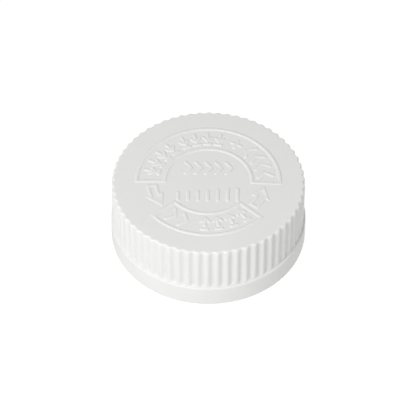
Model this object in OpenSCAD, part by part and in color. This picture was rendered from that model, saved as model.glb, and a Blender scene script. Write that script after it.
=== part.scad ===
// Child-resistant bottle closure for a 53 mm neck: an outer cap that turns freely until it is pressed
// down onto the threaded inner cap. Millimetres, +Z up, resting on its rim at z = 0, axis on Z.
// Each physical piece is one module, in the order it is assembled.

/* [Sub-part] */
// Piece to draw; "all" draws the whole closure

/* [Outer cap] */
// Outside diameter of the smooth band at the foot
band_d = 60; // [59.6:0.1:61]
// Height from the rim to the flat top
cap_h = 22.7; // [22.3:0.1:23.3]
// Height of the smooth band
band_h = 7.2; // [6.2:0.1:8.2]
// How far the band stands out past the ribs
band_step = 0.55; // [0.4:0.05:0.8]
// Thickness of the top panel
panel_t = 1.2; // [1.0:0.1:1.4]
// Number of grip flutes round the wall
flute_count = 62; // [48:1:72]
// Depth of one flute
flute_depth = 0.5; // [0.3:0.05:0.6]
// Radius of the cutter that makes one flute
flute_r = 0.9; // [0.8:0.05:1.0]
// Rounding of the top edge
top_round = 0.6; // [0.5:0.1:1.0]

/* [Raised marks] */
// Height of the raised lines on the top
mark_h = 0.25; // [0.15:0.05:0.4]
// Width of the raised lines
mark_w = 0.96; // [0.6:0.02:1.1]
// Centre-line radius of the outer frame arc
frame_out_r = 21.8; // [21.4:0.1:22.5]
// Centre-line radius of the inner frame arc
frame_in_r = 13.3; // [13.1:0.1:13.6]
// Height of one mark
glyph_h = 5.2; // [4.4:0.1:5.6]

/* [Inner cap] */
// Outside radius of the inner cap's wall
inner_wall_r = 27.5; // [27.4:0.05:27.6]
// Radius of the threaded bore between the threads
bore_r = 26.65; // [26.5:0.05:26.75]
// Radius at the thread crests
crest_r = 25.6; // [25.4:0.05:25.8]
// Rise of the thread in one turn
pitch = 4.23; // [4:0.01:4.4]
// Length of thread, in turns
thread_turns = 1.25; // [1:0.25:1.5]
// Thickness of the inner cap's top
deck_t = 1.1; // [0.9:0.1:1.3]
// Number of drive lugs, and of ratchet teeth, in one circle
lug_count = 12; // [12:1:12]

/* [Press and ratchet] */
// Clear height between the two caps' tops at rest, which the spring fingers fill
spring_h = 3.9; // [3.8:0.1:4.1]
// Travel of the press, rest to fully down
travel = 1.6; // [1.2:0.1:1.6]
// Number of spring fingers
finger_count = 6; // [4, 6]

/* [Liner] */
// Thickness of the board disc
board_t = 0.9; // [0.7:0.1:1.1]
// Thickness of the foil seal
foil_t = 0.1; // [0.1:0.05:0.2]

/* [Hidden] */
$fn = 96;
shell_color = [0.93, 0.93, 0.92];
inner_color = [0.90, 0.90, 0.88];
board_color = [0.78, 0.73, 0.63];
foil_color = [0.80, 0.81, 0.83];

band_r = band_d / 2;
rib_r = band_r - band_step;
cavity_r = 28;
cavity_low_r = 28.2;
bead_r = 27.35;
bead_top = 2.5;
panel_under = cap_h - panel_t;
foot_round = 0.5;
flute_lift = 0.3;
flute_first = 0.9;
ledge_round = 0.25;

// heights inside, measured from the rim
flange_r = 27.95;
flange_z = bead_top + 0.1;
flange_h = 1.4;
deck_top = panel_under - spring_h;
deck_under = deck_top - deck_t;
lug_in_r = 23.5;
lug_out_r = 27;
lug_angle = 12;
lug_pitch = 360 / lug_count;
lug_rest_gap = 0.2;
lug_press_gap = 0.1;
outer_lug_tip = deck_top + travel + lug_press_gap;
inner_lug_h = outer_lug_tip - lug_rest_gap - deck_top;

thread_step = 15;
thread_lap = 0.5;
thread_root_w = 2.4;
thread_crest_w = 1.2;
thread_low = deck_under - 10;
thread_bite = 0.15;

finger_in_r = 15.5;
finger_w = 4;
finger_half = 4.6;
finger_t = 0.8;
tooth_h = 0.8;
tooth_len = 3;
tooth_gap = 0.3;

liner_r = 26.4;

// places of the raised marks: angles round the bands, and offsets in the two middle rows
mark_bite = 0.1;
band_mid_r = (frame_out_r + frame_in_r) / 2;
push_angles = [167.5, 156, 144, 132, 116, 104, 92, 80];
turn_angles = [46, 34, 22, 10];
open_angles = [234, 247];
lift_angles = [268, 281, 294.5, 308];
row_x = [-6.2, -3.1, 0, 3.1, 6.2];
row_y = 5.4;
gauge_x = [-9, -6, -3, 0, 3, 6, 9];
arrow_mid_r = band_mid_r - 0.4;
arrow_in_r = arrow_mid_r - 1.2;
arrow_out_r = arrow_mid_r + 1.2;
wing_in_r = arrow_mid_r - 2.1;
wing_out_r = arrow_mid_r + 2.1;

// ---- helpers ----

// half section of a solid of radius r between two heights, with both outer corners rounded
module rounded_half(r, z_low, z_top, round_low, round_top) {
  translate([0, z_low + round_low])
    square([r, z_top - z_low - round_low - round_top]);
  translate([0, z_low])
    square([r - round_low, round_low + 0.01]);
  translate([0, z_top - round_top - 0.01])
    square([r - round_top, round_top + 0.01]);
  translate([r - round_low, z_low + round_low])
    circle(r = round_low);
  translate([r - round_top, z_top - round_top])
    circle(r = round_top);
}

// point at a radius and an angle
function polar(r, a) = [r * cos(a), r * sin(a)];

// ring between two radii, cut by two radial lines that are each moved outward by grow
module ring_sector(r_low, r_high, middle, half, grow) {
  apex = polar(-grow / sin(half), middle);
  intersection() {
    difference() {
      circle(r = r_high);
      circle(r = r_low);
    }
    polygon([
      apex, apex + polar(70, middle - half), apex + polar(90, middle - half / 2),
      apex + polar(90, middle + half / 2), apex + polar(70, middle + half)
    ]);
  }
}

// outlined frame: two arcs joined by a radial line at each end
module frame_flat(middle, half) {
  g = mark_w / 2;
  difference() {
    ring_sector(frame_in_r - g, frame_out_r + g, middle, half, g);
    ring_sector(frame_in_r + g, frame_out_r - g, middle, half, -g);
  }
}

// two lines that meet in a point at the origin, opening downward
module vee(run, drop) {
  half = mark_w / 2 * norm([run, drop]) / run;
  polygon([
    [-run, -drop - half], [0, -half], [run, -drop - half],
    [run, half - drop], [0, half], [-run, half - drop]
  ]);
}

module bar(x_low, y_low, x_high, y_high) {
  translate([x_low, y_low])
    square([x_high - x_low, y_high - y_low]);
}

// an arrow that points down (dir = -1) or up (dir = 1), with a bar under it
module push_mark(dir) {
  g = mark_w / 2;
  foot = -glyph_h / 2;
  low = foot + mark_w + 0.85;
  high = glyph_h / 2 - 0.2;
  bar(-1.4, foot, 1.4, foot + mark_w);
  bar(-g, dir < 0 ? low + 0.1 : low - 0.2, g, dir < 0 ? high + 0.2 : high - 0.1);
  translate([0, dir < 0 ? low : high])
    rotate(dir < 0 ? 180 : 0)
      vee(1.3, 1.3);
}

// a chevron that points along +x (dir = 1) or -x (dir = -1)
module chevron_mark(dir) {
  translate([0.9 * dir, 0])
    rotate(-90 * dir)
      vee(glyph_h / 2, 1.9);
}

module plus_mark() {
  g = mark_w / 2;
  bar(-1.9, -g, 1.9, g);
  bar(-g, -1.9, g, 1.9);
}

// place a mark on the upper band, with its head away from the centre
module on_upper(angle) {
  rotate(angle - 90)
    translate([0, band_mid_r])
      children();
}

// place a mark on the lower band, with its head toward the centre
module on_lower(angle) {
  rotate(angle + 90)
    translate([0, -band_mid_r])
      children();
}

// pictograms: press down and turn anticlockwise to lift off; turn clockwise until tight
module marks_flat() {
  for (a = push_angles)
    on_upper(a)
      push_mark(-1);
  on_upper(62)
    plus_mark();
  for (a = turn_angles)
    on_upper(a)
      chevron_mark(-1);
  for (a = open_angles)
    on_lower(a)
      chevron_mark(1);
  for (a = lift_angles)
    on_lower(a)
      push_mark(1);
  for (x = row_x)
    translate([x, row_y])
      chevron_mark(1);
  for (i = [0 : len(gauge_x) - 1])
    bar(gauge_x[i] - 0.5, -row_y - 2.9, gauge_x[i] + 0.5, -row_y + 0.8 + 0.3 * i);
}

// arrow that follows the band anticlockwise; g moves its outline outward
module arrow_shape(tail, neck, tip, g) {
  d = g * 180 / PI / arrow_mid_r;
  middle = (tail + neck) / 2;
  polygon([
    polar(arrow_in_r - g, tail - d), polar(arrow_out_r + g, tail - d),
    polar(arrow_out_r + g, middle), polar(arrow_out_r + g, neck - d),
    polar(wing_out_r + 1.7 * g, neck - d), polar(arrow_mid_r, tip + 2.1 * d),
    polar(wing_in_r - 1.7 * g, neck - d), polar(arrow_in_r - g, neck - d),
    polar(arrow_in_r - g, middle)
  ]);
}

module arrow_flat(tail, neck, tip) {
  difference() {
    arrow_shape(tail, neck, tip, mark_w / 2);
    arrow_shape(tail, neck, tip, -mark_w / 2);
  }
}

module raised_marks() {
  translate([0, 0, cap_h - mark_bite])
    linear_extrude(mark_h + mark_bite) {
      frame_flat(90, 91.6);
      frame_flat(270, 48);
      arrow_flat(187.7, 202, 215);
      arrow_flat(325, 339, 351);
      marks_flat();
    }
}

// circle of lugs between two heights
module lug_ring(z_low, z_top, first) {
  for (i = [0 : lug_count - 1])
    rotate([0, 0, first + i * lug_pitch - lug_angle / 2])
      rotate_extrude(angle = lug_angle)
        translate([lug_in_r, z_low])
          square([lug_out_r - lug_in_r, z_top - z_low]);
}

// hollow of the outer cap, with the snap bead that holds the inner cap in
module outer_cavity() {
  rotate_extrude()
    polygon([
      [0, -1], [28.6, -1], [28.6, 0], [cavity_low_r, 0.5], [cavity_low_r, 0.9],
      [bead_r, 1.5], [bead_r, 2.1], [cavity_low_r, bead_top],
      [cavity_low_r, band_h - 0.6], [cavity_r, band_h - 0.2],
      [cavity_r, panel_under - 0.6], [cavity_r - 0.6, panel_under], [0, panel_under]
    ]);
}

// ratchet teeth under the panel: a steep face that drives the fingers, and a slope they click over
module ratchet_teeth() {
  t0 = finger_half + tooth_gap;
  for (i = [0 : lug_count - 1])
    rotate([0, 0, i * lug_pitch])
      translate([finger_in_r, 0, 0])
        rotate([90, 0, 90])
          linear_extrude(finger_w)
            polygon([
              [t0, panel_under + 0.1], [t0, panel_under - tooth_h],
              [t0 + 0.4, panel_under - tooth_h], [t0 + tooth_len, panel_under],
              [t0 + tooth_len, panel_under + 0.1]
            ]);
}

// ---- pieces ----

module outer_cap() {
  color(shell_color) {
    difference() {
      rotate_extrude() {
        rounded_half(rib_r, 1, cap_h, 0.5, top_round);
        rounded_half(band_r, 0, band_h, foot_round, ledge_round);
      }
      outer_cavity();
      for (i = [0 : flute_count - 1])
        rotate([0, 0, flute_first + i * 360 / flute_count])
          translate([rib_r - flute_depth + flute_r, 0, band_h + flute_lift])
            cylinder(r = flute_r, h = cap_h);
    }
    lug_ring(outer_lug_tip, panel_under + 0.1, 0);
    ratchet_teeth();
    raised_marks();
  }
}

// six leaf springs that stand on the inner cap and bear on the outer cap's panel
module spring_fingers() {
  rise = panel_under - deck_top;
  color(inner_color)
    for (i = [0 : finger_count - 1])
      rotate([0, 0, i * 360 / finger_count])
        translate([finger_in_r, 0, 0])
          rotate([90, 0, 90])
            linear_extrude(finger_w)
              polygon([
                [-finger_half - 0.6, deck_top], [-finger_half + 1, deck_top],
                [finger_half - 0.8, deck_top + rise - finger_t - 0.15],
                [finger_half, deck_top + rise - finger_t],
                [finger_half, deck_top + rise - 0.2], [finger_half - 0.2, deck_top + rise],
                [finger_half - 0.9, deck_top + rise],
                [-finger_half - 0.2, deck_top + finger_t], [-finger_half - 0.6, deck_top + 0.5]
              ]);
}

// the thread rises in short steps, each a true piece of the crest cylinder
module thread() {
  steps = thread_turns * 360 / thread_step;
  for (i = [0 : steps - 1])
    rotate([0, 0, i * thread_step])
      rotate_extrude(angle = thread_step + thread_lap)
        translate([0, thread_low + (i + 0.5) * pitch * thread_step / 360])
          polygon([
            [bore_r + thread_bite, -thread_root_w / 2], [crest_r, -thread_crest_w / 2],
            [crest_r, thread_crest_w / 2], [bore_r + thread_bite, thread_root_w / 2]
          ]);
}

module inner_cap() {
  color(inner_color) {
    rotate_extrude()
      polygon([
        [bore_r + 0.35, flange_z], [flange_r - 0.2, flange_z], [flange_r, flange_z + 0.2],
        [flange_r, flange_z + flange_h], [inner_wall_r, flange_z + flange_h + 0.3],
        [inner_wall_r, deck_top - 0.6], [inner_wall_r - 0.6, deck_top], [0, deck_top],
        [0, deck_under], [bore_r, deck_under], [bore_r, flange_z + 0.35]
      ]);
    lug_ring(deck_top - 0.1, deck_top + inner_lug_h, lug_pitch / 2);
    thread();
  }
}

// board disc glued up under the inner cap's deck
module liner_board() {
  color(board_color)
    translate([0, 0, deck_under - board_t])
      cylinder(r = liner_r, h = board_t);
}

// foil seal that stays on the bottle's lip after it is heated
module liner_foil() {
  color(foil_color)
    translate([0, 0, deck_under - board_t - foil_t])
      cylinder(r = liner_r, h = foil_t);
}

outer_cap();
spring_fingers();
inner_cap();
liner_board();
liner_foil();
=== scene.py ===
"""Looks for a press-and-turn bottle closure: the outer cap with its ribs and raised marks, the
threaded inner cap, its spring fingers and the liner, on a plain floor in soft light. Metres, +Z up,
axis on Z."""

import math

import bmesh
import bpy
import numpy as np
from bpy.props import FloatProperty, FloatVectorProperty, IntProperty, PointerProperty
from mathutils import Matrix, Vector


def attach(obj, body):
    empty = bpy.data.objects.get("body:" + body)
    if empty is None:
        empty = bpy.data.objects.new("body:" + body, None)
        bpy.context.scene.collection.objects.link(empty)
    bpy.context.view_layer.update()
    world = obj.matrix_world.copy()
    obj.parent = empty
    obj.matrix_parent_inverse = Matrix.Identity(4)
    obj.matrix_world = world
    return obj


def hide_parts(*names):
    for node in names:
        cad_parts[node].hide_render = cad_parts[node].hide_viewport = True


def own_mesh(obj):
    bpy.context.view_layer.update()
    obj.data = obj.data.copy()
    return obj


bl_info = {
    "name": "Press-and-turn Closure",
    "version": (1, 0, 0),
    "blender": (4, 5, 0),
    "location": "3D View > Sidebar > Closure",
    "description": "Builds the visible surfaces of a screw closure round its solid model",
    "category": "Object",
}

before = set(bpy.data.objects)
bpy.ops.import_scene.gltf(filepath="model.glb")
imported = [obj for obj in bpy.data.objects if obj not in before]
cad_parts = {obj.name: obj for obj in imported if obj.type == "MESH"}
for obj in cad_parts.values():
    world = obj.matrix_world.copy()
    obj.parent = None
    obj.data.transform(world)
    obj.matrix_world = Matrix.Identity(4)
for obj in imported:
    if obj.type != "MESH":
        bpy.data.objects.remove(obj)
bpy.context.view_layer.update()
MM = 0.001


# ---------------------------------------------------------------- properties


def length(label, text, millimetres):
    """A length property whose default is given in millimetres."""
    return FloatProperty(
        name=label,
        description=text,
        default=millimetres * MM,
        min=0.0,
        precision=5,
        unit="LENGTH",
        subtype="DISTANCE",
    )


def share(label, text, value):
    """A property from 0 to 1."""
    return FloatProperty(
        name=label, description=text, default=value, min=0.0, max=1.0, subtype="FACTOR"
    )


def colour(label, text, rgb):
    """A linear RGB colour property."""
    return FloatVectorProperty(
        name=label, description=text, default=rgb, min=0.0, max=1.0, size=3, subtype="COLOR"
    )


class OuterCapSizes(bpy.types.PropertyGroup):
    """Sizes of the ribbed outer cap."""

    band_radius: length("Band radius", "Radius of the smooth band at the foot", 30.0)
    band_height: length("Band height", "Height of the smooth band's ledge", 7.2)
    crest_radius: length("Crest radius", "Radius over the crests of the ribs", 29.45)
    top_height: length("Top height", "Height of the flat top over the rim", 22.7)
    top_round: length("Top rounding", "Radius of the rounded top edge", 0.6)
    rib_count: IntProperty(
        name="Ribs", description="Number of grip ribs round the wall", default=62, min=12
    )
    rib_turn: FloatProperty(
        name="Rib turn",
        description="Angle of the first groove from the X axis",
        default=math.radians(0.9),
        subtype="ANGLE",
    )
    rib_depth: length("Rib depth", "Depth of the grooves between the ribs", 0.5)
    cavity_radius: length("Cavity radius", "Radius of the wall's inner face", 28.0)
    panel_thickness: length("Panel thickness", "Thickness of the top panel", 1.2)


class MarkSizes(bpy.types.PropertyGroup):
    """Sizes of the raised lines on the top."""

    line_height: length("Line height", "How far the raised lines stand up", 0.25)
    line_width: length("Line width", "Width of a raised line at half its height", 0.96)
    frame_outer: length("Outer arc", "Radius of the frames' outer arc", 21.8)
    frame_inner: length("Inner arc", "Radius of the frames' inner arc", 13.3)
    mark_height: length("Mark height", "Height of one pictogram", 5.2)


class InnerCapSizes(bpy.types.PropertyGroup):
    """Sizes of the threaded inner cap and what it carries."""

    wall_radius: length("Wall radius", "Outside radius of the wall", 27.5)
    bore_radius: length("Bore radius", "Radius between the threads", 26.65)
    crest_radius: length("Crest radius", "Radius at the thread's crest", 25.6)
    thread_pitch: length("Thread pitch", "Rise of the thread in one turn", 4.23)
    thread_turns: FloatProperty(
        name="Thread turns", description="Length of the thread in turns", default=1.25, min=0.5
    )
    deck_top: length("Deck height", "Height of the deck's upper face over the rim", 17.6)
    deck_thickness: length("Deck thickness", "Thickness of the deck", 1.1)
    lug_count: IntProperty(
        name="Drive lugs", description="Number of drive lugs in one circle", default=12, min=3
    )
    travel: length("Press travel", "How far the outer cap goes down when it is pressed", 1.6)


class Finishes(bpy.types.PropertyGroup):
    """Colours and gloss."""

    outer_white: colour("Outer cap", "Colour of the outer cap's plastic", (0.79, 0.79, 0.78))
    inner_white: colour("Inner cap", "Colour of the inner cap's plastic", (0.80, 0.80, 0.775))
    board: colour("Liner board", "Colour of the pulpboard disc", (0.55, 0.47, 0.35))
    foil: colour("Foil", "Colour of the foil seal", (0.82, 0.83, 0.85))
    plastic_roughness: share("Plastic roughness", "Roughness of the moulded plastic", 0.42)


class StageSettings(bpy.types.PropertyGroup):
    """Floor, lights and camera."""

    camera_azimuth: FloatProperty(
        name="Camera azimuth",
        description="Turn of the camera round the closure",
        default=math.radians(1.3),
        subtype="ANGLE",
    )
    camera_elevation: FloatProperty(
        name="Camera elevation",
        description="Height of the camera over the horizon",
        default=math.radians(47.95),
        subtype="ANGLE",
    )
    camera_distance: length("Camera distance", "Distance from the camera to its aim", 773.0)
    focal_length: FloatProperty(
        name="Focal length",
        description="Focal length on a 36 mm sensor, in millimetres",
        default=217.4,
        min=1.0,
    )
    key_power: FloatProperty(
        name="Key light", description="Power of the key light in watts", default=3.9, min=0.0
    )
    sky_strength: FloatProperty(
        name="Sky", description="Strength of the even light from all round", default=0.55, min=0.0
    )
    floor_glow: share("Floor glow", "Light that the floor throws up onto the closure", 0.72)


# ------------------------------------------------------------ surface helpers
#
# A solid is a pair: an array of corners, one row each, and a list of faces.


def grid_faces(rows, columns, wrap_rows=False):
    """Quads of a grid whose columns close on themselves: corner (i, j) joins (i+1, j), (i+1, j+1)
    and (i, j+1), with j+1 taken modulo the columns, and i+1 modulo the rows if wrap_rows."""
    i = np.arange(rows if wrap_rows else rows - 1)[:, None]
    j = np.arange(columns)[None, :]
    below, beside = (i + 1) % rows, (j + 1) % columns
    quads = np.stack(
        np.broadcast_arrays(
            i * columns + j, below * columns + j, below * columns + beside, i * columns + beside
        ),
        -1,
    )
    return quads.reshape(-1, 4).tolist()


def lidded(corners):
    """Solid from a grid of corners (rows, columns, 3): its quads, and one flat face over each end
    row."""
    rows, columns = corners.shape[:2]
    faces = grid_faces(rows, columns)
    faces.append(list(range(columns)))
    faces.append(list(range(rows * columns - 1, (rows - 1) * columns - 1, -1)))
    return corners.reshape(-1, 3), faces


def paving(rim, faces_up, count=14, step=0.82):
    """Flat disc inside a level rim of corners (columns, 3). Rings with a third of the rim's columns
    are copies of the rim shrunk toward the axis by 0.98 * step ** k; the rim itself joins the first
    ring by six-sided faces, and one face closes the middle."""
    columns = len(rim)
    thin = columns // 3
    shrink = np.ones((count, 1, 3))
    shrink[:, 0, :2] = step ** np.arange(count)[:, None] * 0.98
    rings = (rim[::3][None] * shrink).reshape(-1, 3)
    k = np.arange(thin)[:, None]
    border = np.hstack(
        [3 * k, 3 * k + 1, 3 * k + 2, (3 * k + 3) % columns, columns + (k + 1) % thin, columns + k]
    )
    quads = np.array(grid_faces(count, thin))[:, ::-1] + columns
    last = columns + (count - 1) * thin
    faces = border.tolist() + quads.tolist() + [list(range(last, last + thin))]
    if not faces_up:
        faces = [face[::-1] for face in faces]
    return np.vstack([rim, rings]), faces


def whole_turn(count):
    """count evenly spaced angles from 0 round to just before the full circle."""
    return np.arange(count) * 2 * math.pi / count


def lathe(radius, height, angle):
    """Corner at (radius cos angle, radius sin angle, height). radius and height are (rows,
    columns)."""
    return np.stack(
        np.broadcast_arrays(radius * np.cos(angle), radius * np.sin(angle), height), -1
    )


def merged(solids):
    """Several solids as one list of corners and faces."""
    corners, faces, base = [], [], 0
    for points, polygons in solids:
        corners.append(points)
        faces += [[base + k for k in polygon] for polygon in polygons]
        base += len(points)
    return np.vstack(corners), faces


def ringed(solid, count, first=0.0):
    """count copies of a solid turned evenly about Z, the first by the angle first: each corner
    times the turn matrix of first + 2 pi k / count."""
    points, polygons = solid
    turn = first + whole_turn(count)
    c, s = np.cos(turn)[:, None], np.sin(turn)[:, None]
    x = points[:, 0] * c - points[:, 1] * s
    y = points[:, 0] * s + points[:, 1] * c
    z = np.broadcast_to(points[:, 2], x.shape)
    corners = np.stack([x, y, z], -1).reshape(-1, 3)
    size = len(points)
    faces = [[k * size + p for p in polygon] for k in range(count) for polygon in polygons]
    return corners, faces


def polar(radius, degrees):
    """Point of the plane at a radius and an angle: (r cos a, r sin a)."""
    a = np.radians(degrees)
    return np.stack(np.broadcast_arrays(radius * np.cos(a), radius * np.sin(a)), -1)


def mitres(path, closed):
    """Offset direction at each point of a path: the sum of the two neighbouring segments'
    right-hand normals over one plus their dot product, which stays at unit distance from both
    segments."""
    ahead = np.roll(path, -1, 0) - path
    if not closed:
        ahead = ahead[:-1]
    ahead = ahead / np.linalg.norm(ahead, axis=1, keepdims=True)
    normal = np.stack([ahead[:, 1], -ahead[:, 0]], 1)
    before = np.roll(normal, 1, 0) if closed else np.vstack([normal[:1], normal])
    after = normal if closed else np.vstack([normal, normal[-1:]])
    return (before + after) / (1 + (before * after).sum(1, keepdims=True))


def prism(outline, insets, heights):
    """Upright solid: row k is the anticlockwise outline moved inward by insets[k] at heights[k],
    and the heights fall from row to row."""
    inward = -mitres(outline, True)
    rows = outline[None] + inward[None] * np.asarray(insets)[:, None, None]
    z = np.broadcast_to(np.asarray(heights)[:, None], rows.shape[:2])
    return lidded(np.concatenate([rows, z[..., None]], -1))


def stood_up(solid):
    """A prism laid on its side: its x runs along Y, its y along Z, and its height along X."""
    points, faces = solid
    return points[:, [2, 0, 1]], faces


ROOT = -0.3 * MM  # how far the solids of the raised lines reach down into the panel


def ridge_profile(sizes):
    """Distance from a raised line's middle, and height there: flat to about a quarter of the width,
    then half a cosine wave down to just under the top's surface."""
    flat, foot = 0.22 * sizes.line_width, 0.78 * sizes.line_width
    t = np.linspace(0, 1, 9)
    distance = np.r_[0.0, flat + (foot - flat) * t]
    height = np.r_[1.0, 0.5 + 0.5 * np.cos(math.pi * t)] * sizes.line_height
    height[-1] = -0.004 * MM
    return distance, height


def open_ridge(path, sizes, level):
    """Raised line with round ends along an open path. The columns run round the line: out along its
    right side, half a circle round its end, back along its left side, half a circle round its
    start. Each row is the profile's distance along that direction, at the profile's height."""
    distance, height = ridge_profile(sizes)
    side = mitres(path, False)
    fan = np.linspace(0, math.pi, 9)[1:-1, None]

    def half_circle(start):
        ahead = np.array([-start[1], start[0]])
        return start * np.cos(fan) + ahead * np.sin(fan)

    middle = np.vstack(
        [path, np.repeat(path[-1:], len(fan), 0), path[::-1], np.repeat(path[:1], len(fan), 0)]
    )
    outward = np.vstack([side, half_circle(side[-1]), -side[::-1], half_circle(-side[0])])
    distance = np.r_[distance, distance[-1], 0.0]
    height = np.r_[height, ROOT, ROOT]
    rows = middle[None] + outward[None] * distance[:, None, None]
    z = np.broadcast_to(level + height[:, None], rows.shape[:2])
    corners = np.concatenate([rows, z[..., None]], -1)
    return corners.reshape(-1, 3), grid_faces(*corners.shape[:2])


def closed_ridge(path, sizes, level):
    """Raised line along a closed anticlockwise path: the profile from its inner foot over to its
    outer foot and back underneath, carried along the mitred path."""
    distance, height = ridge_profile(sizes)
    distance = np.r_[-distance[:0:-1], distance, distance[-1], -distance[-1]]
    height = np.r_[height[:0:-1], height, ROOT, ROOT]
    rows = path[None] + mitres(path, True)[None] * distance[:, None, None]
    z = np.broadcast_to(level + height[:, None], rows.shape[:2])
    corners = np.concatenate([rows, z[..., None]], -1)
    return corners.reshape(-1, 3), grid_faces(*corners.shape[:2], wrap_rows=True)


# -------------------------------------------------------------- mesh helpers


def new_object(name, solid):
    """Object at the origin from a solid, with corners at the same place made one."""
    points, faces = solid
    mesh = bpy.data.meshes.new(name)
    mesh.from_pydata(points.tolist(), [], faces)
    work = bmesh.new()
    work.from_mesh(mesh)
    bmesh.ops.remove_doubles(work, verts=work.verts, dist=1e-8)
    work.to_mesh(mesh)
    work.free()
    piece = bpy.data.objects.new(name, mesh)
    bpy.context.scene.collection.objects.link(piece)
    return piece


def united(name, base, *additions):
    """One closed skin round a base solid and the solids that are moulded on it."""
    piece = new_object(name, base)
    helpers = [new_object(f"{name}_part_{k}", solid) for k, solid in enumerate(additions)]
    for helper in helpers:
        joint = piece.modifiers.new(helper.name, "BOOLEAN")
        joint.operation = "UNION"
        joint.solver = "MANIFOLD"
        joint.object = helper
    bpy.context.view_layer.update()
    seen = piece.evaluated_get(bpy.context.evaluated_depsgraph_get())
    mesh = bpy.data.meshes.new_from_object(seen)
    mesh.name = name
    piece.modifiers.clear()
    piece.data = mesh
    for helper in helpers:
        bpy.data.objects.remove(helper)
    return piece


def shade(piece, sharp_degrees, tangent_level=None, bore=None):
    """Smooth shading with edges over sharp_degrees kept sharp. Level faces keep their true normal,
    and so does everything that meets the level plane at height tangent_level. Upright faces of a
    round bore of that radius point at the axis."""
    mesh = piece.data
    mesh.polygons.foreach_set("use_smooth", np.ones(len(mesh.polygons), bool))
    mesh.set_sharp_from_angle(angle=math.radians(sharp_degrees))
    mesh.update()
    normals = np.empty(len(mesh.loops) * 3, np.float32)
    mesh.corner_normals.foreach_get("vector", normals)
    normals = normals.reshape(-1, 3)
    flat = np.empty(len(mesh.polygons) * 3, np.float32)
    mesh.polygons.foreach_get("normal", flat)
    sides = np.empty(len(mesh.polygons), np.int32)
    mesh.polygons.foreach_get("loop_total", sides)
    flat = np.repeat(flat.reshape(-1, 3), sides, 0)
    level = np.abs(flat[:, 2]) > 0.99999
    normals[level] = flat[level]
    places = np.empty(len(mesh.vertices) * 3, np.float32)
    mesh.vertices.foreach_get("co", places)
    corner = np.empty(len(mesh.loops), np.int32)
    mesh.loops.foreach_get("vertex_index", corner)
    places = places.reshape(-1, 3)[corner]
    if tangent_level is not None:
        meets = (np.abs(places[:, 2] - tangent_level) < 2e-6) & (flat[:, 2] > 0.3)
        normals[meets] = (0.0, 0.0, 1.0)
    if bore is not None:
        reach = np.hypot(places[:, 0], places[:, 1])
        meets = (np.abs(reach - bore) < 3e-6) & (np.abs(flat[:, 2]) < 0.01)
        normals[meets] = -places[meets] * (1.0, 1.0, 0.0) / bore
    mesh.normals_split_custom_set(normals.tolist())


def finish_piece(piece, finish, body, node):
    """Material, body, CAD node and material slot of one piece."""
    piece.data.materials.clear()
    piece.data.materials.append(finish)
    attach(piece, body)
    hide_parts(node)


# ----------------------------------------------------------------- materials


class Surface:
    """A material in the making. All its patterns lie on the piece's own coordinates."""

    def __init__(self, name):
        self.material = bpy.data.materials.new(name)
        self.material.use_nodes = True
        self.tree = self.material.node_tree
        self.shader = self.tree.nodes["Principled BSDF"]
        self.place = self.add("ShaderNodeTexCoord", "Object", {})

    def fill(self, node, inputs):
        """Give each input its value, or a link if the value is another node's socket."""
        for name, value in inputs.items():
            if isinstance(value, bpy.types.NodeSocket):
                self.tree.links.new(value, node.inputs[name])
            else:
                node.inputs[name].default_value = value

    def add(self, kind, output, inputs, **settings):
        """A new node with its settings and inputs; gives back one of its outputs."""
        node = self.tree.nodes.new(kind)
        for name, value in settings.items():
            setattr(node, name, value)
        self.fill(node, inputs)
        return node.outputs[output]

    def stretched(self, along_x):
        """Coordinates on which a pattern is drawn out along X."""
        return self.add(
            "ShaderNodeMapping", "Vector", {"Vector": self.place, "Scale": (along_x, 1.0, 1.0)}
        )

    def noise(self, scale, detail, place=None):
        """Cloud noise, with a scale in features per metre."""
        inputs = {"Vector": place or self.place, "Scale": scale, "Detail": detail}
        return self.add("ShaderNodeTexNoise", "Fac", inputs)

    def spread(self, value, low, high, start=0.0, end=1.0):
        """A value from start to end moved to the range from low to high."""
        inputs = {"Value": value, "From Min": start, "From Max": end, "To Min": low, "To Max": high}
        return self.add("ShaderNodeMapRange", "Result", inputs)

    def tone(self, rgb, darkest, factor):
        """Base colour from darkest * rgb at factor 0 to rgb at factor 1."""
        inputs = {"A": (*[darkest * c for c in rgb], 1.0), "B": (*rgb, 1.0), "Factor": factor}
        colour_out = self.add("ShaderNodeMix", "Result", inputs, data_type="RGBA")
        self.fill(self.shader, {"Base Color": colour_out})

    def relief(self, height, strength, distance):
        """Bumps from a height pattern, distance high in metres."""
        inputs = {"Height": height, "Strength": strength, "Distance": distance}
        self.fill(self.shader, {"Normal": self.add("ShaderNodeBump", "Normal", inputs)})


def plastic(name, rgb, roughness):
    """Moulded polypropylene: an even white with a faint cloudy change of tone and gloss, and a very
    fine grain, and a little light that scatters under the surface."""
    surface = Surface(name)
    cloud = surface.noise(70.0, 2.0)
    surface.tone(rgb, 0.985, surface.spread(cloud, 0.0, 1.0, 0.3, 0.7))
    surface.relief(surface.noise(2600.0, 3.0), 0.05, 0.05 * MM)
    surface.fill(
        surface.shader,
        {
            "Roughness": surface.spread(cloud, roughness - 0.03, roughness + 0.03, 0.3, 0.7),
            "IOR": 1.49,
            "Subsurface Weight": 0.3,
            "Subsurface Radius": (1.0, 1.0, 1.0),
            "Subsurface Scale": 1.2 * MM,
        },
    )
    return surface.material


def pulpboard(name, rgb):
    """Matt grey-brown board with fibres: a fine noise drawn out along X."""
    surface = Surface(name)
    surface.tone(rgb, 0.8, surface.noise(1800.0, 4.0, surface.stretched(0.25)))
    surface.fill(surface.shader, {"Roughness": 0.9})
    return surface.material


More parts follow.
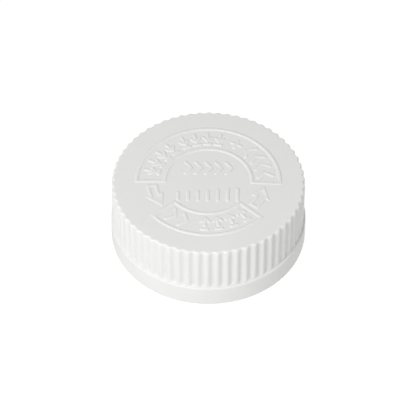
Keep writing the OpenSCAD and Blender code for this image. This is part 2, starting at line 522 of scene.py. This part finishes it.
def film_on_foil(name, rgb):
    """Bright foil under a thin clear film: a metal rolled along X, whose gloss changes in fine
    streaks, with the small dents that the board under it leaves, and a clear coat."""
    surface = Surface(name)
    streak = surface.noise(1500.0, 3.0, surface.stretched(0.03))
    surface.relief(surface.noise(420.0, 3.0), 0.45, 0.3 * MM)
    surface.fill(
        surface.shader,
        {
            "Base Color": (*rgb, 1.0),
            "Metallic": 1.0,
            "Roughness": surface.spread(streak, 0.18, 0.42),
            "Coat Weight": 0.4,
            "Coat Roughness": 0.15,
        },
    )
    return surface.material


# ----------------------------------------------------------------- outer cap


def quarter(steps):
    """Sine and cosine of evenly spaced angles from 0 to a quarter turn."""
    angle = np.linspace(0, math.pi / 2, steps)
    return np.sin(angle), np.cos(angle)


def outer_shell(sizes):
    """The outer cap without its marks and lugs. The radius is the profile's, less the rib depth
    times the profile's groove share times (1 + cos(n (a - a0))) / 2. The groove share climbs as a
    quarter ellipse over the ledge."""
    crest, top, edge = sizes.crest_radius, sizes.top_height, sizes.top_round
    band, ledge = sizes.band_radius, sizes.band_height
    cavity, ceiling = sizes.cavity_radius, sizes.top_height - sizes.panel_thickness
    angle = whole_turn(sizes.rib_count * 12)
    groove = 0.5 + 0.5 * np.cos(sizes.rib_count * (angle - sizes.rib_turn))

    sine, cosine = quarter(8)
    rows = [(crest - edge + edge * s, top - edge + edge * c, 1.0) for s, c in zip(sine, cosine)]
    rows += [(crest, z, 1.0) for z in np.linspace(top - 2.5 * MM, ledge + 2.2 * MM, 8)]
    climb = 1.3 * MM
    for t in (1.0, 0.8, 0.6, 0.42, 0.27, 0.15, 0.07, 0.02, 0.0):
        rows.append((crest, ledge + 0.22 * MM + climb * t, math.sqrt(1 - (1 - t) ** 2)))
    rows.append((crest + 0.02 * MM, ledge + 0.1 * MM, 0.0))
    rows.append((crest + 0.08 * MM, ledge + 0.03 * MM, 0.0))
    rows.append((crest + 0.16 * MM, ledge, 0.0))
    shoulder = 0.28 * MM
    rows += [
        (band - shoulder + shoulder * s, ledge - shoulder + shoulder * c, 0.0)
        for s, c in zip(*quarter(6))
    ]
    rows += [(band, z, 0.0) for z in np.linspace(ledge - 1.0 * MM, 1.2 * MM, 5)]
    foot = 0.5 * MM
    rows += [(band - foot + foot * c, foot - foot * s, 0.0) for s, c in zip(*quarter(6))]
    inside = np.array(
        [
            (28.62, 0.0), (28.5, 0.05), (28.26, 0.42), (28.2, 0.6), (28.2, 0.85), (28.05, 1.0),
            (27.6, 1.28), (27.42, 1.45), (27.35, 1.65), (27.35, 1.95), (27.42, 2.12),
            (27.6, 2.24), (28.05, 2.42), (28.2, 2.55), (28.2, 6.5), (28.12, 6.75),
            (28.0, 7.1), (28.0, 14.0),
        ]
    )
    rows += [(r * MM, z * MM, 0.0) for r, z in inside]
    fillet = 0.6 * MM
    rows += [
        (cavity - fillet + fillet * c, ceiling - fillet + fillet * s, 0.0)
        for s, c in zip(*quarter(6))
    ]
    radius, height, cut = np.array(rows).T[:, :, None]
    wall = lathe(radius - sizes.rib_depth * cut * groove[None], height, angle[None])
    skin = wall.reshape(-1, 3), grid_faces(*wall.shape[:2])
    return merged([skin, paving(wall[0], True), paving(wall[-1], False)])


LUG_INNER = 23.5 * MM
LUG_OUTER = 27.0 * MM
LUG_DEGREES = 12


def lug_block(high, low, rounded_end):
    """One drive lug, centred on the X axis: a block of a ring with rounded edges at its free end.
    rounded_end is 1 if that is the upper one and -1 if it is the lower one."""
    arc = np.linspace(-LUG_DEGREES / 2, LUG_DEGREES / 2, 7)
    outline = np.vstack([polar(LUG_OUTER, arc), polar(LUG_INNER, arc[::-1])])
    inset = np.array([0.3, 0.12, 0.03, 0.0, 0.0]) * MM
    drop = np.array([0.0, 0.05, 0.15, 0.35]) * MM
    if rounded_end > 0:
        return prism(outline, inset, np.r_[high - drop, low])
    return prism(outline, inset[::-1], np.r_[high, (low + drop)[::-1]])


# Half the length of a spring finger, its inner radius and its width, in millimetres.
FINGER_REACH = 4.6
FINGER_INNER = 15.5
FINGER_WIDTH = 4.0


def ratchet_tooth(ceiling):
    """One ratchet tooth: its side outline, with the steep face toward the fingers, drawn out
    radially."""
    start = FINGER_REACH + 0.3
    side = np.array(
        [
            (start, 0.1), (start, -0.7), (start + 0.1, -0.8), (start + 0.4, -0.8),
            (FINGER_REACH + 2.9, -0.06), (FINGER_REACH + 3.0, 0.1),
        ]
    )
    outline = side * MM + np.array([0.0, ceiling])
    low, high = FINGER_INNER * MM, (FINGER_INNER + FINGER_WIDTH) * MM
    inset = np.array([0.1, 0.0, 0.0, 0.1]) * MM
    heights = np.array([high, high - 0.1 * MM, low + 0.1 * MM, low])
    return stood_up(prism(outline, inset, heights))


# Pictograms of the top: each is a list of open lines in its own upright square, in millimetres.


def press_arrow(direction, height):
    """Arrow that points down (-1) or up (1), and the bar under it: arrowhead, bar and shaft."""
    foot = -height / 2 + 0.48
    low, high = foot + 1.3, height / 2 - 0.3
    tip, back = (low, 1.3) if direction < 0 else (high, -1.3)
    head = [(-1.2, tip + back), (0.0, tip), (1.2, tip + back)]
    return [head, [(-0.9, foot), (0.9, foot)], [(0.0, low + 0.1), (0.0, high - 0.1)]]


def chevron(direction, height):
    """Chevron that points along +x (1) or -x (-1)."""
    leg = height / 2 - 0.3
    return [(-0.9 * direction, leg), (0.9 * direction, 0.0), (-0.9 * direction, -leg)]


def placed(line, radius, degrees, lower=False):
    """A line of a pictogram moved to the band at an angle: its own y axis points outward on the
    upper band and inward on the lower one."""
    line = np.array(line) * MM
    outward = polar(1.0, degrees)
    along = np.array([outward[1], -outward[0]])
    if lower:
        return polar(radius, degrees) - along * line[:, :1] - outward * line[:, 1:]
    return polar(radius, degrees) + along * line[:, :1] + outward * line[:, 1:]


# Places of the raised marks: angles in degrees, and distances along the two middle rows in
# millimetres. A frame has its middle angle and half its span, and an arrow its tail, neck and tip.
FRAMES = ((90, 91.6), (270, 48))
ARROWS = ((187.7, 202, 215), (325, 339, 351))
PRESS_ANGLES = (167.5, 156, 144, 132, 116, 104, 92, 80)
PLUS_ANGLE = 62
TURN_ANGLES = (46, 34, 22, 10)
OPEN_ANGLES = (234, 247)
LIFT_ANGLES = (268, 281, 294.5, 308)
CLOSE_PLACES = (-6.2, -3.1, 0.0, 3.1, 6.2)
GAUGE_PLACES = (-9.0, -6.0, -3.0, 0.0, 3.0, 6.0, 9.0)
ROW_OFFSET = 5.4
GROUPS_OF_LINES = 6
CREST_STEP = 0.002 * MM


def arc_angles(start, end, steps):
    """Evenly spaced angles whose first and last steps are double, so that a mitred corner at either
    end is shorter than the piece of arc beside it."""
    return np.delete(np.linspace(start, end, steps + 1), [1, -2])


def arrow_path(middle, tail, neck, tip):
    """Outline of an arrow that goes anticlockwise on a circle from its tail angle to its tip
    angle."""
    shaft = arc_angles(tail, neck, 9)
    return np.vstack(
        [
            polar(middle + 1.2 * MM, shaft),
            polar(middle + 2.1 * MM, [neck]),
            polar(middle, [tip]),
            polar(middle - 2.1 * MM, [neck]),
            polar(middle - 1.2 * MM, shaft[::-1]),
        ]
    )


def raised_marks(sizes, level):
    """All raised lines, in groups whose own lines don't touch each other: the frames, every sixth
    line of the pictograms, so that the three lines of a small arrow and of the next one all differ,
    and the two outlined arrows. Each group is a crest step lower than the one before, so that no
    crests share a plane."""
    frames, arrows, lines = [], [], []
    band = (sizes.frame_outer + sizes.frame_inner) / 2
    for middle, half in FRAMES:
        arc = arc_angles(middle - half, middle + half, int(half))
        path = np.vstack([polar(sizes.frame_outer, arc), polar(sizes.frame_inner, arc[::-1])])
        frames.append(closed_ridge(path, sizes, level))
    low = level - (1 + GROUPS_OF_LINES) * CREST_STEP
    for turn in ARROWS:
        arrows.append(closed_ridge(arrow_path(band - 0.4 * MM, *turn), sizes, low))
    tall = sizes.mark_height / MM
    for angles, direction, lower in ((PRESS_ANGLES, -1, False), (LIFT_ANGLES, 1, True)):
        arrow = press_arrow(direction, tall)
        lines += [placed(line, band, a, lower) for a in angles for line in arrow]
    lines.append(placed([(-1.5, 0.0), (1.5, 0.0)], band, PLUS_ANGLE))
    lines.append(placed([(0.0, -1.5), (0.0, 1.5)], band, PLUS_ANGLE))
    lines += [placed(chevron(-1, tall), band, a) for a in TURN_ANGLES]
    lines += [placed(chevron(1, tall), band, a, True) for a in OPEN_ANGLES]
    for x in CLOSE_PLACES:
        lines.append((np.array(chevron(1, tall)) + (x, ROW_OFFSET)) * MM)
    for k, x in enumerate(GAUGE_PLACES):
        ends = [(x, -ROW_OFFSET - 2.5), (x, -ROW_OFFSET + 0.4 + 0.3 * k)]
        lines.append(np.array(ends) * MM)
    groups = [merged(frames), merged(arrows)]
    for k in range(GROUPS_OF_LINES):
        low = level - (1 + k) * CREST_STEP
        groups.append(merged([open_ridge(line, sizes, low) for line in lines[k::GROUPS_OF_LINES]]))
    return groups


class CLOSURE_OT_outer_cap(bpy.types.Operator):
    """Build the outer cap: ribbed wall, smooth foot band, raised marks, drive lugs and ratchet
    teeth"""

    bl_idname = "closure.outer_cap"
    bl_label = "Outer Cap"

    def execute(self, context):
        scene = context.scene
        sizes, inner = scene.closure_outer, scene.closure_inner
        ceiling = sizes.top_height - sizes.panel_thickness
        lug_tip = inner.deck_top + inner.travel + 0.1 * MM
        lug = lug_block(ceiling + 0.1 * MM, lug_tip, -1)
        piece = united(
            "outer_cap_shell",
            outer_shell(sizes),
            *raised_marks(scene.closure_marks, sizes.top_height),
            ringed(lug, inner.lug_count),
            ringed(ratchet_tooth(ceiling), inner.lug_count),
        )
        shade(piece, 40, sizes.top_height)
        looks = scene.closure_finishes
        finish = plastic("white_polypropylene", looks.outer_white, looks.plastic_roughness)
        finish_piece(piece, finish, "outer", "outer_cap")
        return {"FINISHED"}


# ----------------------------------------------------------------- inner cap


def thread_ridge(sizes):
    """The thread: a rounded trapezoid carried along a right-hand helix, z rising by the pitch in
    one turn. Its radial depth is faded in and out over 20 degrees at the ends by a smooth step."""
    seat = sizes.bore_radius + 0.15 * MM
    side = np.array(
        [(0.0, 1.2), (0.3, 1.02), (0.86, 0.72), (0.97, 0.6), (1.0, 0.45), (1.0, -0.45),
         (0.97, -0.6), (0.86, -0.72), (0.3, -1.02), (0.0, -1.2)]
    )
    steps = int(sizes.thread_turns * 180)
    turn = np.linspace(0, sizes.thread_turns * 360, steps + 1)[:, None]
    ends = np.clip(np.minimum(turn, turn[::-1]) / 20, 0, 1)
    fade = 0.06 + 0.94 * ends * ends * (3 - 2 * ends)
    radius = seat - (seat - sizes.crest_radius) * side[None, :, 0] * fade
    start = sizes.deck_top - sizes.deck_thickness - 10 * MM
    height = start + sizes.thread_pitch * turn / 360 + side[None, :, 1] * MM
    return lidded(lathe(radius, height, np.radians(turn)))


def inner_shell(sizes):
    """The inner cap without thread and lugs: one turned profile, from the deck's top out and down
    the wall, under the flange and up the bore to the deck's underside."""
    wall, bore, top = sizes.wall_radius / MM, sizes.bore_radius / MM, sizes.deck_top / MM
    under = top - sizes.deck_thickness / MM
    rows = [(wall - 0.6 + 0.6 * s, top - 0.6 + 0.6 * c) for s, c in zip(*quarter(6))]
    rows += [(wall, z) for z in (12.0, 8.0, 4.6)]
    rows += [(wall + 0.05, 4.3), (wall + 0.25, 4.08), (27.85, 3.98), (27.95, 3.85)]
    rows += [(27.95, 2.85), (27.9, 2.68), (27.75, 2.6), (bore + 0.42, 2.6)]
    rows += [(bore + 0.2, 2.68), (bore + 0.03, 2.95), (bore, 3.2), (bore, 9.0)]
    rows += [(bore, under - 0.25), (bore - 0.07, under - 0.07), (bore - 0.25, under)]
    radius, height = (np.array(rows) * MM).T[:, :, None]
    return lidded(lathe(radius, height, whole_turn(240)[None]))


class CLOSURE_OT_inner_cap(bpy.types.Operator):
    """Build the inner cap: deck with drive lugs, wall with flange, and a smooth helical thread"""

    bl_idname = "closure.inner_cap"
    bl_label = "Inner Cap"

    def execute(self, context):
        scene = context.scene
        sizes = scene.closure_inner
        top = sizes.deck_top
        lug = lug_block(top + sizes.travel - 0.1 * MM, top - 0.1 * MM, 1)
        piece = united(
            "inner_cap_shell",
            inner_shell(sizes),
            ringed(lug, sizes.lug_count, math.pi / sizes.lug_count),
            thread_ridge(sizes),
        )
        shade(piece, 40, bore=sizes.bore_radius)
        looks = scene.closure_finishes
        finish = plastic("natural_polypropylene", looks.inner_white, looks.plastic_roughness)
        finish_piece(piece, finish, "inner", "inner_cap")
        return {"FINISHED"}


def finger_leaf(deck, ceiling):
    """One leaf spring on its side: a middle line that rises as half a cosine wave, with a thickness
    that thins from root to tip, drawn out radially with softened edges."""
    t = np.linspace(0, 1, 15)
    thick = (0.95 - 0.3 * t) * MM
    along = (-FINGER_REACH + 0.35 + (2 * FINGER_REACH - 0.4) * t) * MM
    low, high = deck + 0.42 * MM, ceiling - 0.34 * MM
    rise = low + (high - low) * (0.5 - 0.5 * np.cos(math.pi * np.clip(1.06 * t - 0.02, 0, 1)))
    middle = np.stack([along, rise], 1)
    side = mitres(middle, False) * thick[:, None] / 2
    outline = np.vstack([middle + side, (middle - side)[::-1]])
    near, far = FINGER_INNER * MM, (FINGER_INNER + FINGER_WIDTH) * MM
    inset = np.array([0.14, 0.04, 0.0, 0.0, 0.04, 0.14]) * MM
    edge = np.array([0.0, 0.04, 0.14]) * MM
    return stood_up(prism(outline, inset, np.r_[far - edge, (near + edge)[::-1]]))


class CLOSURE_OT_spring_fingers(bpy.types.Operator):
    """Build the six leaf springs that push the two caps apart"""

    bl_idname = "closure.spring_fingers"
    bl_label = "Spring Fingers"

    def execute(self, context):
        scene = context.scene
        sizes, inner = scene.closure_outer, scene.closure_inner
        ceiling = sizes.top_height - sizes.panel_thickness
        leaf = finger_leaf(inner.deck_top, ceiling)
        piece = new_object("spring_finger_set", ringed(leaf, 6))
        shade(piece, 40)
        finish = bpy.data.materials["natural_polypropylene"]
        finish_piece(piece, finish, "spring", "spring_fingers")
        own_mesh(piece)
        return {"FINISHED"}


LINER_RADIUS = 26.4 * MM
BOARD_THICKNESS = 0.9 * MM
FOIL_THICKNESS = 0.1 * MM


def disc(radius, high, low, edge):
    """Flat round disc with its edge rounded by edge: a turned profile."""
    rows = [(radius - edge + edge * s, high - edge + edge * c) for s, c in zip(*quarter(4))]
    rows += [(radius - edge + edge * c, low + edge - edge * s) for s, c in zip(*quarter(4))]
    r, z = np.array(rows).T[:, :, None]
    return lidded(lathe(r, z, whole_turn(180)[None]))


class CLOSURE_OT_liner(bpy.types.Operator):
    """Build the liner under the inner cap's deck: a board disc and a foil seal"""

    bl_idname = "closure.liner"
    bl_label = "Liner"

    def execute(self, context):
        scene = context.scene
        sizes, looks = scene.closure_inner, scene.closure_finishes
        seat = sizes.deck_top - sizes.deck_thickness
        middle = seat - BOARD_THICKNESS
        board = new_object("liner_board_disc", disc(LINER_RADIUS, seat, middle, 0.1 * MM))
        shade(board, 40)
        finish = pulpboard("pulpboard", looks.board)
        finish_piece(board, finish, "inner", "liner_board")
        under = middle - FOIL_THICKNESS
        foil = new_object("liner_foil_disc", disc(LINER_RADIUS, middle, under, 0.03 * MM))
        shade(foil, 40)
        finish = film_on_foil("film_on_foil", looks.foil)
        finish_piece(foil, finish, "inner", "liner_foil")
        return {"FINISHED"}


# --------------------------------------------------------------------- stage


def aimed(thing, place, target):
    """Put an object at a place with its -Z axis toward a target."""
    thing.location = place
    thing.rotation_euler = (Vector(target) - Vector(place)).to_track_quat("-Z", "Y").to_euler()


def round_place(azimuth, elevation, distance, target):
    """Point at a distance from target, azimuth 0 on the -Y side and growing toward +X."""
    return Vector(target) + distance * Vector(
        (
            math.sin(azimuth) * math.cos(elevation),
            -math.cos(azimuth) * math.cos(elevation),
            math.sin(elevation),
        )
    )


class CLOSURE_OT_stage(bpy.types.Operator):
    """Build the floor, the soft light and the camera"""

    bl_idname = "closure.stage"
    bl_label = "Stage"

    def execute(self, context):
        scene = context.scene
        stage = scene.closure_stage
        scene.view_settings.view_transform = "Standard"
        scene.view_settings.look = "None"

        half = 4.0
        mesh = bpy.data.meshes.new("floor")
        mesh.from_pydata(
            [(-half, -half, 0), (half, -half, 0), (half, half, 0), (-half, half, 0)],
            [],
            [(0, 1, 2, 3)],
        )
        floor = bpy.data.objects.new("floor", mesh)
        scene.collection.objects.link(floor)
        white = bpy.data.materials.new("white_floor")
        white.use_nodes = True
        shader = white.node_tree.nodes["Principled BSDF"]
        shader.inputs["Base Color"].default_value = (0.12, 0.12, 0.12, 1.0)
        shader.inputs["Roughness"].default_value = 1.0
        shader.inputs["Specular IOR Level"].default_value = 0.0
        shader.inputs["Emission Color"].default_value = (1.0, 1.0, 1.0, 1.0)
        nodes, links = white.node_tree.nodes, white.node_tree.links
        path = nodes.new("ShaderNodeLightPath")
        glow = nodes.new("ShaderNodeMix")
        glow.inputs["A"].default_value = stage.floor_glow
        glow.inputs["B"].default_value = 0.94
        links.new(path.outputs["Is Camera Ray"], glow.inputs["Factor"])
        links.new(glow.outputs["Result"], shader.inputs["Emission Strength"])
        mesh.materials.append(white)

        world = bpy.data.worlds.new("even_white")
        world.use_nodes = True
        nodes, links = world.node_tree.nodes, world.node_tree.links
        light = nodes["Background"]
        light.inputs["Color"].default_value = (1.0, 1.0, 1.0, 1.0)
        light.inputs["Strength"].default_value = stage.sky_strength
        seen = nodes.new("ShaderNodeBackground")
        seen.inputs["Color"].default_value = (1.0, 1.0, 1.0, 1.0)
        path = nodes.new("ShaderNodeLightPath")
        pick = nodes.new("ShaderNodeMixShader")
        links.new(path.outputs["Is Camera Ray"], pick.inputs[0])
        links.new(light.outputs[0], pick.inputs[1])
        links.new(seen.outputs[0], pick.inputs[2])
        links.new(pick.outputs[0], nodes["World Output"].inputs["Surface"])
        scene.world = world

        key = bpy.data.lights.new("key", "AREA")
        key.shape = "DISK"
        key.size = 0.35
        key.energy = stage.key_power
        key_object = bpy.data.objects.new("key", key)
        scene.collection.objects.link(key_object)
        centre = (0.0, 0.0, 0.011)
        aimed(
            key_object,
            round_place(math.radians(-33), math.radians(43), 0.8, centre),
            centre,
        )

        camera = bpy.data.cameras.new("camera")
        camera.sensor_width = 36.0
        camera.lens = stage.focal_length
        camera.clip_start, camera.clip_end = 0.05, 20.0
        eye = bpy.data.objects.new("camera", camera)
        scene.collection.objects.link(eye)
        rise, side = -0.45 * MM, 0.09 * MM
        back = round_place(stage.camera_azimuth, stage.camera_elevation, 1.0, (0, 0, 0))
        right = Vector((math.cos(stage.camera_azimuth), math.sin(stage.camera_azimuth), 0))
        up = back.cross(right)
        aim = Vector((0, 0, 11.1 * MM)) + up * rise - right * side
        aimed(eye, aim + back * stage.camera_distance, aim)
        scene.camera = eye
        return {"FINISHED"}


# --------------------------------------------------------------------- panel

GROUPS = (
    ("closure_outer", OuterCapSizes),
    ("closure_marks", MarkSizes),
    ("closure_inner", InnerCapSizes),
    ("closure_finishes", Finishes),
    ("closure_stage", StageSettings),
)
OPERATORS = (
    CLOSURE_OT_outer_cap,
    CLOSURE_OT_inner_cap,
    CLOSURE_OT_spring_fingers,
    CLOSURE_OT_liner,
    CLOSURE_OT_stage,
)


class CLOSURE_PT_panel(bpy.types.Panel):
    """Sizes, finishes and build buttons of the closure"""

    bl_idname = "CLOSURE_PT_panel"
    bl_label = "Press-and-turn Closure"
    bl_space_type = "VIEW_3D"
    bl_region_type = "UI"
    bl_category = "Closure"

    def draw(self, context):
        layout = self.layout
        for name, group in GROUPS:
            box = layout.box()
            box.label(text=group.__doc__)
            for field in group.__annotations__:
                box.prop(getattr(context.scene, name), field)
        for operator in OPERATORS:
            layout.operator(operator.bl_idname)


def register():
    for name, group in GROUPS:
        bpy.utils.register_class(group)
        setattr(bpy.types.Scene, name, PointerProperty(type=group))
    for operator in OPERATORS:
        bpy.utils.register_class(operator)
    bpy.utils.register_class(CLOSURE_PT_panel)


def unregister():
    bpy.utils.unregister_class(CLOSURE_PT_panel)
    for operator in reversed(OPERATORS):
        bpy.utils.unregister_class(operator)
    for name, group in reversed(GROUPS):
        delattr(bpy.types.Scene, name)
        bpy.utils.unregister_class(group)


def main():
    register()
    bpy.ops.closure.outer_cap()
    bpy.ops.closure.inner_cap()
    bpy.ops.closure.spring_fingers()
    bpy.ops.closure.liner()
    bpy.ops.closure.stage()


if __name__ == "__main__":
    main()
